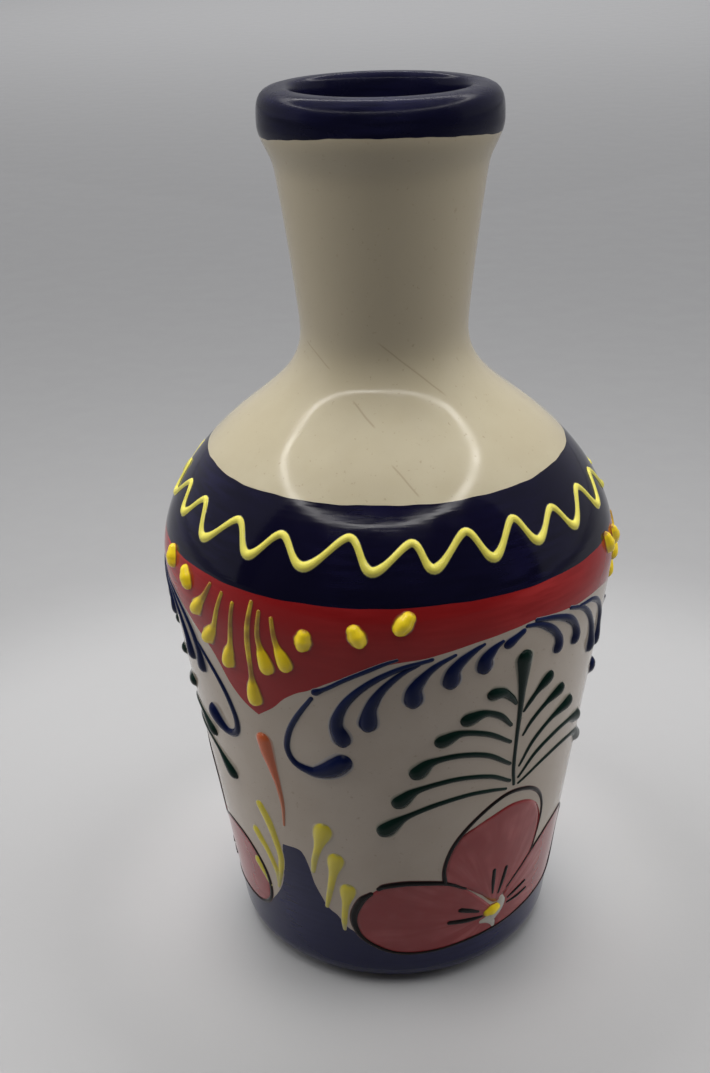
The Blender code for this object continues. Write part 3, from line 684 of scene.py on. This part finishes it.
def petal_glaze(name, thick, thin_and_neck_shade):
    """Rose glaze brushed outwards from the flower's heart."""
    shader = Shader(name)
    marks = shader.spread(shader.noise(1.0, 4.0, shader.read("brush", "Vector")), *MARKS_MIDDLE)
    patches = shader.spread(shader.noise(90.0, 2.0), 0.3, 0.8)
    colour = shader.mix(shader.math("MULTIPLY", marks, patches), thick, thin_and_neck_shade)
    return shader.finish(colour, shader.vary(140.0, 0.07, 0.14), shader.noise(70.0), 0.10 * MM)


def bead_glaze(name, full, thin_and_neck_shade, skirt, roughness, gloss):
    """Raised glaze: full on its back, thinner on fine strokes, and of another colour along its skirt."""
    shader = Shader(name)
    cloud = shader.spread(shader.noise(160.0, 3.0), 0.25, 0.75, 0.0, 0.35)
    fullness = shader.spread(shader.math("SUBTRACT", shader.read("girth"), cloud), 0.0, 0.55)
    body = shader.mix(fullness, thin_and_neck_shade, full)
    colour = shader.mix(shader.spread(shader.read("crown"), 0.03, 0.22), skirt, body)
    shader.set("Specular IOR Level", gloss)
    shine = shader.vary(300.0, roughness * 0.7, roughness * 1.4)
    return shader.finish(colour, shine, shader.noise(260.0, 2.0), 0.05 * MM)


def bare_clay(name):
    """The unglazed foot: buff clay with grit and a sanded bloom."""
    shader = Shader(name)
    grit = shader.spread(shader.noise(700.0, 3.0), 0.35, 0.75)
    colour = shader.mix(grit, CLAY, CLAY_GRIT)
    dust = shader.spread(shader.noise(60.0), 0.4, 0.7)
    colour = shader.mix(shader.math("MULTIPLY", dust, 0.4), colour, CLAY_DUST)
    return shader.finish(colour, shader.vary(400.0, 0.7, 0.9), shader.noise(900.0), 0.15 * MM)


def vessel_glazes():
    """The glazes of the vessel's stretches, in the order of its material slots."""
    return {
        "clay": bare_clay("bare_clay"),
        "base": brushed_glaze("base_cobalt", (0.008, 0.009, 0.046), (0.016, 0.017, 0.072), 0.10, 0.28),
        "ground": white_glaze("white_ground", (0.43, 0.365, 0.30), (0.395, 0.33, 0.265),
                              (0.18, 0.14, 0.10)),
        "red": brushed_glaze("brick_red", (0.26, 0.011, 0.012), (0.39, 0.024, 0.024), 0.10, 0.22),
        "cobalt": brushed_glaze("cobalt", (0.003, 0.0025, 0.012), (0.008, 0.007, 0.032), 0.11, 0.30),
        # the cream glaze's last colour is the neck's painted shade
        "cream": white_glaze("cream_glaze", (0.45, 0.40, 0.285), (0.41, 0.36, 0.25),
                             (0.19, 0.145, 0.085), (0.36, 0.312, 0.226), HAIRLINES),
        "lip": brushed_glaze("lip_cobalt", (0.003, 0.003, 0.012), (0.006, 0.006, 0.024), 0.22, 0.2),
        # the lip's cobalt inside the mouth, painted paler than on the rim: painted light on the inner wall
        "mouth": brushed_glaze("mouth_cobalt_painted_light", (0.014, 0.012, 0.045), (0.026, 0.023, 0.09), 0.14, 0.4),
        "inside": white_glaze("inner_glaze", (0.40, 0.36, 0.28), (0.35, 0.31, 0.23), (0.18, 0.13, 0.08)),
    }


def bead_glazes():
    """The raised glazes: their full, thin and skirt colours, then roughness and gloss."""
    finishes = {
        "lemon_bead": ((0.72, 0.65, 0.11), (0.60, 0.54, 0.09), (0.008, 0.008, 0.032), 0.14, 0.5),
        "yellow_bead": ((0.86, 0.64, 0.02), (0.34, 0.17, 0.025), (0.20, 0.022, 0.010), 0.14, 0.5),
        "yellow_sprig": ((0.58, 0.48, 0.035), (0.41, 0.37, 0.14), (0.40, 0.34, 0.26), 0.12, 0.5),
        "orange_bead": ((0.52, 0.115, 0.04), (0.46, 0.15, 0.07), (0.41, 0.27, 0.20), 0.12, 0.5),
        "blue_bead": ((0.004, 0.008, 0.042), (0.007, 0.014, 0.055), (0.30, 0.28, 0.27), 0.16, 0.15),
        "green_bead": ((0.004, 0.016, 0.012), (0.008, 0.020, 0.016), (0.30, 0.28, 0.23), 0.16, 0.15),
        "black_bead": ((0.007, 0.006, 0.006), (0.010, 0.007, 0.007), (0.14, 0.06, 0.055), 0.16, 0.15),
        "white_bead": ((0.44, 0.41, 0.36), (0.41, 0.38, 0.32), (0.34, 0.28, 0.24), 0.10, 0.5),
    }
    return {name: bead_glaze(name, *finish) for name, finish in finishes.items()}


# The vessel


def section():
    """The whole section from under the foot, up the outside, over the rim and down to the inner floor.

    Returns its points, the distance along it at each, and where its stretches end in these lists.
    """
    ring = FOOT_RADIUS - FOOT_RING_WIDTH
    under = [(0.0, FOOT_RECESS), (ring - FOOT_RECESS, FOOT_RECESS), (ring, 0.0)]
    outside = outer_side()
    rim = (LIP_RADIUS - RIM_INSET, HEIGHT)
    mouth = (MOUTH_RADIUS, LIP_HEIGHT)
    outer_turn = quarter(outside[-1], rim, True, RIM_FULLNESS)
    inner_turn = quarter(mouth, rim, True, RIM_FULLNESS)
    over = outer_turn[1:] + inner_turn[-2::-1]
    offset = np.array(outside) - WALL * outward(outside)
    bend = FLOOR + FLOOR_ROUNDING
    inside = [tuple(p) for p in offset if bend < p[1] < COLLAR_HEIGHT][::-1]
    floor_edge = (inside[-1][0] - FLOOR_ROUNDING, FLOOR)
    turn = quarter(floor_edge, inside[-1], False)[-2::-1]
    points = np.array(under + outside + over + inside + turn + [(0.0, FLOOR)])
    ends = np.cumsum([len(under), len(outside), len(over), len(inside), len(turn)])
    return points, lengths(points), ends


def vessel_lines(angles):
    """The lines that divide the vessel's glazes, as distances along the section, at each angle or at all.

    Each line comes with the rows of mesh up to it from the line before, and the glaze of that stretch.
    """
    points, along, ends = section()
    ring, lip, mouth, wall_foot, floor_edge = along[ends - 1]
    outer, inner = slice(ends[0], ends[1]), slice(ends[2], ends[3])

    def outside(up):
        return np.interp(np.asarray(up) * MM, points[outer, 1], along[outer])

    def inside(up):
        return np.interp(up * MM, points[inner, 1][::-1], along[inner][::-1])

    def uneven(up, number):
        return outside(up + EDGE_WOBBLE * wobble(angles, number))

    lines = [
        (along[1], 6, "clay"),
        (ring, 2, "clay"),
        (along[ends[0]], 3, "clay"),
        (uneven(GLAZE_FOOT, 1), 3, "clay"),
        (outside(painted_edge(BASE_EDGE, angles, 2)), 18, "base"),
        (outside(painted_edge(RED_EDGE, angles, 3)), 40, "ground"),
        (uneven(RED_TOP, 4), 14, "red"),
        (uneven(COBALT_TOP, 5), 18, "cobalt"),
        (uneven(LIP_PAINT + LIP_PAINT_SWAY * np.cos(2 * angles), 6), 50, "cream"),
        (lip, 6, "lip"),
        (mouth, 20, "lip"),
        (inside(MOUTH_PAINT), 6, "mouth"),
        (wall_foot, 44, "inside"),
        (floor_edge, 6, "inside"),
        (along[-1], 5, "inside"),
    ]
    return points, along, lines


def add_vessel():
    """The turned vessel as one closed mesh, whose rows follow the painted edges."""
    angles = np.radians(np.arange(COLUMNS) * 360.0 / COLUMNS - 180.0)
    points, along, lines = vessel_lines(angles)
    glazes = vessel_glazes()
    order = list(glazes)
    rows, kinds = [np.zeros(COLUMNS)], []
    for line, count, kind in lines:
        previous = rows[-1]
        for share in np.arange(1, count + 1) / count:
            rows.append(previous + (line - previous) * share)
            kinds.append(order.index(kind))
    grid = []
    for row in rows:
        radius, height = (np.interp(row, along, points[:, k]) for k in (0, 1))
        grid.append(np.stack([radius * np.sin(angles), -radius * np.cos(angles), height], axis=-1))
    faces = []
    for low in range(0, len(kinds) * COLUMNS, COLUMNS):
        high = low + COLUMNS
        for c in range(COLUMNS):
            n = (c + 1) % COLUMNS
            faces.append((low + c, low + n, high + n, high + c))
    mesh = new_mesh("bottle", np.concatenate(grid), faces)
    mesh.polygons.foreach_set("material_index", np.repeat(kinds, COLUMNS))
    close_poles(mesh)
    for kind in order:
        mesh.materials.append(glazes[kind])
    add_piece("bottle", mesh, None, ["bottle_body"])


def close_poles(mesh):
    """Merges the points that meet on the axis."""
    shape = bmesh.new()
    shape.from_mesh(mesh)
    bmesh.ops.remove_doubles(shape, verts=shape.verts, dist=SAME_PLACE)
    shape.to_mesh(mesh)
    shape.free()


# Beads


def swelled(path):
    """Half widths along a stroke that swells into a round head at its thicker end."""
    width = path[:, 2]
    away = lengths(path[:, :2])
    if width[-1] > width[0]:
        away = away[-1] - away
    head = HEAD_SIZE * max(width[0], width[-1])
    line = np.minimum(width, HEAD_LINE * head)
    return line + (head - line) * np.exp(-(away / (HEAD_REACH * head)) ** 2)


def bead_rings(stroke, headed):
    """One bead laid flat: its rings, as (x, y, half width, height share), its tips, and the wall's radius."""
    heights = [up for _, up, _ in stroke]
    reference = SURFACE.radius(SURFACE.along(sum(heights) / len(heights)))
    laid = [(math.radians(deg) * reference, SURFACE.along(up), width * MM) for deg, up, width in stroke]
    path = smooth(laid, PATH_STEP)
    if headed:
        path[:, 2] = swelled(path)
    ends = []
    for end, inner in ((path[0], path[1]), (path[-1], path[-2])):
        away = end[:2] - inner[:2]
        away /= np.linalg.norm(away)
        reach = END_REACH * end[2]
        rings = []
        for share in END_SHARES:
            drop = math.sqrt(1.0 - share * share)
            rings.append((*(end[:2] + away * reach * share), end[2] * drop, drop))
        ends.append((rings, end[:2] + away * reach))
    middle = [(x, y, width, 1.0) for x, y, width in path]
    rings = ends[0][0][::-1] + middle + ends[1][0]
    return np.array(rings), ends[0][1], ends[1][1], reference


def bead_mesh(plain, headed, place, relief):
    """Vertices, faces, crown and girth of a place's beads: plain strokes, then headed ones."""
    half, rise = np.array(BEAD_ACROSS), np.array(BEAD_RISE)
    across = np.concatenate([-half[:0:-1], half, [BEAD_UNDER, -BEAD_UNDER]])
    dome = np.concatenate([rise[:0:-1], rise, [0.0, 0.0]])
    count = len(across)
    vertices, faces, crown, girth = [], [], [], []
    for stroke in plain + headed:
        rings, first_tip, last_tip, reference = bead_rings(stroke, stroke in headed)
        centre = rings[:, :2]
        forward = np.gradient(centre, axis=0)
        forward /= np.linalg.norm(forward, axis=1)[:, None]
        side = np.stack([forward[:, 1], -forward[:, 0]], axis=1)
        width = rings[:, 2]
        flat = centre[:, None, :] + side[:, None, :] * (width[:, None] * across)[:, :, None]
        lift = (width * relief)[:, None] * dome
        lift[:, dome == 0.0] -= SINK
        lift[:, -2:] -= SINK
        xs = np.concatenate([flat[:, :, 0].ravel(), [first_tip[0], last_tip[0]]])
        ys = np.concatenate([flat[:, :, 1].ravel(), [first_tip[1], last_tip[1]]])
        zs = np.concatenate([lift.ravel(), [-SINK, -SINK]])
        angles = np.radians(placed(np.degrees(xs / reference), place))
        base = len(vertices)
        vertices.extend(SURFACE.points(angles, ys, zs))
        crown.extend(np.concatenate([np.tile(dome, len(rings)), [0.0, 0.0]]))
        thickness = np.repeat(width / FULL_GIRTH, count)
        girth.extend(np.concatenate([thickness, thickness[[0, -1]]]))
        for k in range(len(rings) - 1):
            low, high = base + k * count, base + (k + 1) * count
            for c in range(count):
                n = (c + 1) % count
                faces.append((low + c, high + c, high + n, low + n))
        tips = base + len(rings) * count
        last = base + (len(rings) - 1) * count
        for c in range(count):
            n = (c + 1) % count
            faces.append((tips, base + c, base + n))
            faces.append((tips + 1, last + n, last + c))
    return vertices, faces, crown, girth


def add_beads(name, plain, headed, place, relief, material, nodes):
    """One piece of beads at one place."""
    vertices, faces, crown, girth = bead_mesh(plain, headed, place, relief)
    mesh = new_mesh(name, vertices, faces)
    attribute(mesh, "crown", crown)
    attribute(mesh, "girth", girth)
    add_piece(name, mesh, material, nodes)


def zigzag_turns():
    """The zigzag from its start at the right, round the back and along the front to its end."""
    start = ZIGZAG_BACK - 360.0
    wave = (ZIGZAG_FRONT[0][0] - start) / ZIGZAG_BACK_WAVES
    turns = [(degrees - 360.0, up) for degrees, up in ZIGZAG_START]
    for k in range(ZIGZAG_BACK_WAVES):
        turns.append((start + wave * k, ZIGZAG_VALLEY))
        turns.append((start + wave * (k + 0.5 + ZIGZAG_LEAN), ZIGZAG_PEAK))
    return turns + ZIGZAG_FRONT


def zigzag_stroke():
    """The zigzag's line: thickest in its valleys, thinnest on the slopes, with a blob at its end."""
    turns = zigzag_turns()
    marked = [(degrees, up, k % 2) for k, (degrees, up) in enumerate(turns)]
    stroke = []
    for degrees, up, phase in smooth(marked, ZIGZAG_STEP):
        valley, peak = max(0.0, 1.0 - 2.0 * phase), max(0.0, 2.0 * phase - 1.0)
        at_valley = (ZIGZAG_AT_VALLEY - ZIGZAG_ON_SLOPE) * valley ** 2
        at_peak = (ZIGZAG_AT_PEAK - ZIGZAG_ON_SLOPE) * peak ** 2
        stroke.append((degrees, up, ZIGZAG_ON_SLOPE + at_valley + at_peak))
    stroke[-1] = (*turns[-1], ZIGZAG_AT_END)
    return stroke


def fill_mesh(vertices, faces, brush, middle, outline, place, lift):
    """Adds one painted area: a thin skin on the wall, filled from its middle."""
    reference = SURFACE.radius(SURFACE.along(middle[1]))

    def flat(point):
        return (math.radians(point[0]) * reference, SURFACE.along(point[1]))

    edge = smooth([flat(p) for p in outline], FILL_STEP, closed=True)
    centre = np.array(flat(middle))
    heart = np.array(flat(FLOWER_HEART))
    count = len(edge)
    shares = list(np.arange(1, FILL_RINGS + 1) / FILL_RINGS)
    rings = [(centre + (edge - centre) * share, lift) for share in shares]
    rings.append((edge, -SINK))
    rings.append((centre + (edge - centre) * FILL_UNDER, -2 * SINK))
    base = len(vertices)
    for ring, height in [(centre[None, :], lift)] + rings + [(centre[None, :], -2 * SINK)]:
        angles = np.radians(placed(np.degrees(ring[:, 0] / reference), place))
        vertices.extend(SURFACE.points(angles, ring[:, 1], np.full(len(ring), height)))
        away = ring - heart
        turn = np.arctan2(away[:, 1], away[:, 0]) * BRUSH_TURNS
        reach = np.linalg.norm(away, axis=1) / BRUSH_LENGTH
        brush.extend(np.stack([turn, reach, np.zeros(len(ring))], axis=1))
    for c in range(count):
        n = (c + 1) % count
        faces.append((base + 1 + c, base + 1 + n, base))
        for k in range(len(rings) - 1):
            low, high = base + 1 + k * count, base + 1 + (k + 1) * count
            faces.append((high + c, high + n, low + n, low + c))
        last = base + 1 + (len(rings) - 1) * count
        faces.append((last + count, last + n, last + c))


def add_fills(name, place, material):
    """The painted petals of one flower."""
    vertices, faces, brush = [], [], []
    for number, (middle, outline) in enumerate(PETAL_FILLS, 1):
        fill_mesh(vertices, faces, brush, middle, outline, place, FILL_LIFT * number)
    mesh = new_mesh(name, vertices, faces)
    attribute(mesh, "brush", brush, "FLOAT_VECTOR", "vector")
    add_piece(name, mesh, material, [])


def numbered(stem, strokes):
    """The names of a place's solids, one for each stroke."""
    return [f"{stem}_{number}" for number in range(1, len(strokes) + 1)]


def add_decoration():
    """Every bead and painted petal, a piece for each kind at each place."""
    glazes = bead_glazes()
    rose = petal_glaze("rose_glaze", (0.235, 0.020, 0.022), (0.36, 0.075, 0.075))
    as_drawn = (0.0, 1.0, 1.0)
    add_beads("zigzag_trail", [zigzag_stroke()], [], as_drawn, ZIGZAG_RELIEF, glazes["lemon_bead"],
              ["zigzag_trail"])
    dots = [[(d + tilt * rise, up + rise, width) for rise, width in DOT_SHAPE] for d, up, tilt in DOTS]
    at_points = [
        ("yellow_drips", [], DRIPS, THICK_RELIEF, "yellow_bead", numbered("yellow_drip", DRIPS)),
        ("yellow_dots", dots, [], DOT_RELIEF, "yellow_bead", numbered("yellow_dot", DOTS)),
        ("orange_stroke", [DROP_STROKE], [], THIN_RELIEF, "orange_bead", ["orange_stroke"]),
        ("blue_scrolls", [RIGHT_SCROLL], [LEFT_SCROLL], THIN_RELIEF, "blue_bead",
         ["blue_scroll_right", "blue_scroll_left"]),
        ("yellow_sprigs", PLAIN_SPRIGS, HEADED_SPRIGS, FLAT_RELIEF, "yellow_sprig", []),
    ]
    at_flowers = [
        ("blue_commas", [], COMMAS + SMALL_COMMAS, THIN_RELIEF, "blue_bead",
         numbered("blue_comma", COMMAS)),
        ("green_frond", [FROND_STEM], FROND_LEAFLETS, THIN_RELIEF, "green_bead", ["green_frond"]),
        ("petal_outline", PETAL_OUTLINES + STAMENS, [], THIN_RELIEF, "black_bead", ["petal_outline"]),
        ("flower_heart", HEART, [], HEART_RELIEF, "white_bead", []),
        ("flower_eye", EYE, [], THICK_RELIEF, "yellow_bead", []),
    ]
    point_places = [(angle, *shares) for angle, shares in zip(POINT_ANGLES, POINT_SHARES)]
    for kinds, places in ((at_points, point_places), (at_flowers, flower_places())):
        for name, plain, headed, relief, glaze, stems in kinds:
            for number, place in enumerate(places, 1):
                nodes = [f"{stem}_{number}" for stem in stems]
                add_beads(f"{name}_{number}", plain, headed, place, relief, glazes[glaze], nodes)
    for number, place in enumerate(flower_places(), 1):
        add_fills(f"petal_fill_{number}", place, rose)


# Stage


def add_floor():
    """A pale floor, faintly uneven, with painted light: paler round the bottle and darker away from it."""
    bpy.ops.mesh.primitive_grid_add(x_subdivisions=2, y_subdivisions=2, size=FLOOR_SIZE)
    floor = bpy.context.object
    floor.name = "floor"
    shader = Shader("floor_painted_light")
    colour = shader.mix(shader.vary(3.0, detail=2.0), *FLOOR_CLOUDS)
    away = shader.distance(shader.place)
    # painted light: the floor darkens away from the bottle
    for start, end, tone in FLOOR_PAINTED_LIGHT:
        colour = shader.mix(shader.spread(away, start, end), colour, tone)
    shine = shader.vary(40.0, 0.55, 0.65)
    floor.data.materials.append(shader.finish(colour, shine, shader.noise(800.0), 0.02 * MM))


def emission(name, strength, colour):
    """A material that only glows."""
    material = bpy.data.materials.new(name)
    material.use_nodes = True
    tree = material.node_tree
    tree.nodes.clear()
    light = tree.nodes.new("ShaderNodeEmission")
    light.inputs["Color"].default_value = (*colour, 1.0)
    light.inputs["Strength"].default_value = strength
    out = tree.nodes.new("ShaderNodeOutputMaterial")
    tree.links.new(light.outputs["Emission"], out.inputs["Surface"])
    return material


def annulus(name, inner, outer, centre, height):
    """A flat ring that faces down."""
    vertices, faces = [], []
    for k in range(RING_SIDES):
        turn = 2 * math.pi * k / RING_SIDES
        for radius in (inner, outer):
            x, y = radius * math.cos(turn), radius * math.sin(turn)
            vertices.append((centre[0] + x, centre[1] + y, height))
        n = (k + 1) % RING_SIDES
        faces.append((2 * k, 2 * n, 2 * n + 1, 2 * k + 1))
    ring = add_object(name, new_mesh(name, vertices, faces))
    ring.visible_camera = False
    return ring


def add_ceiling():
    """A ring lamp over the bottle, which the shoulder mirrors, round a dimmer panel."""
    half = RING_WIDTH / 2
    ring = annulus("ring_lamp", RING_RADIUS - half, RING_RADIUS + half, RING_CENTRE, RING_HEIGHT)
    ring.data.materials.append(emission("ring_light", RING_STRENGTH, RING_COLOUR))
    above = RING_HEIGHT + CEILING_LIFT
    panel = annulus("ceiling_panel", CEILING_HOLE, CEILING_RADIUS, CEILING_CENTRE, above)
    panel.data.materials.append(emission("panel_light", CEILING_STRENGTH, CEILING_COLOUR))
    panel.visible_glossy = False


def add_lamps():
    """Soft lamps at both sides, and one over the floor far behind."""
    for number, (place, target, size, power) in enumerate(LAMPS, 1):
        data = bpy.data.lights.new(f"lamp_{number}", "AREA")
        data.size = size
        data.energy = power
        lamp = add_object(data.name, data)
        lamp.location = place
        lamp.rotation_euler = (Vector(target) - Vector(place)).to_track_quat("-Z", "Y").to_euler()
        lamp.visible_camera = False
        lamp.visible_glossy = False


def cloth(name, deep, pale):
    """Dull cloth between two tones."""
    shader = Shader(name)
    colour = shader.mix(shader.noise(30.0), deep, pale)
    return shader.finish(colour, shader.vary(60.0, 0.85, 0.95), shader.noise(400.0), 0.2 * MM)


def add_flag():
    """A dark panel behind the camera, which the front of the glaze mirrors."""
    wide = FLAG_WIDTH / 2
    corners = [(x, -FLAG_DISTANCE, z) for z in (FLAG_GAP, FLAG_HEIGHT) for x in (-wide, wide)]
    flag = add_object("dark_panel", new_mesh("dark_panel", corners, [(0, 1, 3, 2)]))
    flag.data.materials.append(cloth("dark_cloth", (0.03, 0.03, 0.035), (0.05, 0.05, 0.055)))
    flag.visible_camera = False


def add_world():
    """An even, dim light from all round."""
    world = bpy.data.worlds.new("studio")
    world.use_nodes = True
    background = world.node_tree.nodes["Background"]
    background.inputs["Color"].default_value = (*WORLD_COLOUR, 1.0)
    background.inputs["Strength"].default_value = WORLD_STRENGTH
    bpy.context.scene.world = world


def add_camera():
    """The photograph's camera: yaw to the right, pitch down, then roll."""
    data = bpy.data.cameras.new("camera")
    data.sensor_width = SENSOR
    data.lens = FOCAL_PIXELS * SENSOR / FRAME_HEIGHT
    data.clip_start = CLIP_START
    camera = add_object("camera", data)
    pan = Matrix.Rotation(-CAMERA_YAW, 4, "Z")
    tilt = Matrix.Rotation(math.pi / 2 - CAMERA_PITCH, 4, "X")
    roll = Matrix.Rotation(CAMERA_ROLL, 4, "Z")
    camera.matrix_world = Matrix.Translation(CAMERA_PLACE) @ pan @ tilt @ roll
    bpy.context.scene.camera = camera


add_vessel()
add_decoration()
add_floor()
add_ceiling()
add_lamps()
add_flag()
add_world()
add_camera()
bpy.context.scene.view_settings.view_transform = "Standard"
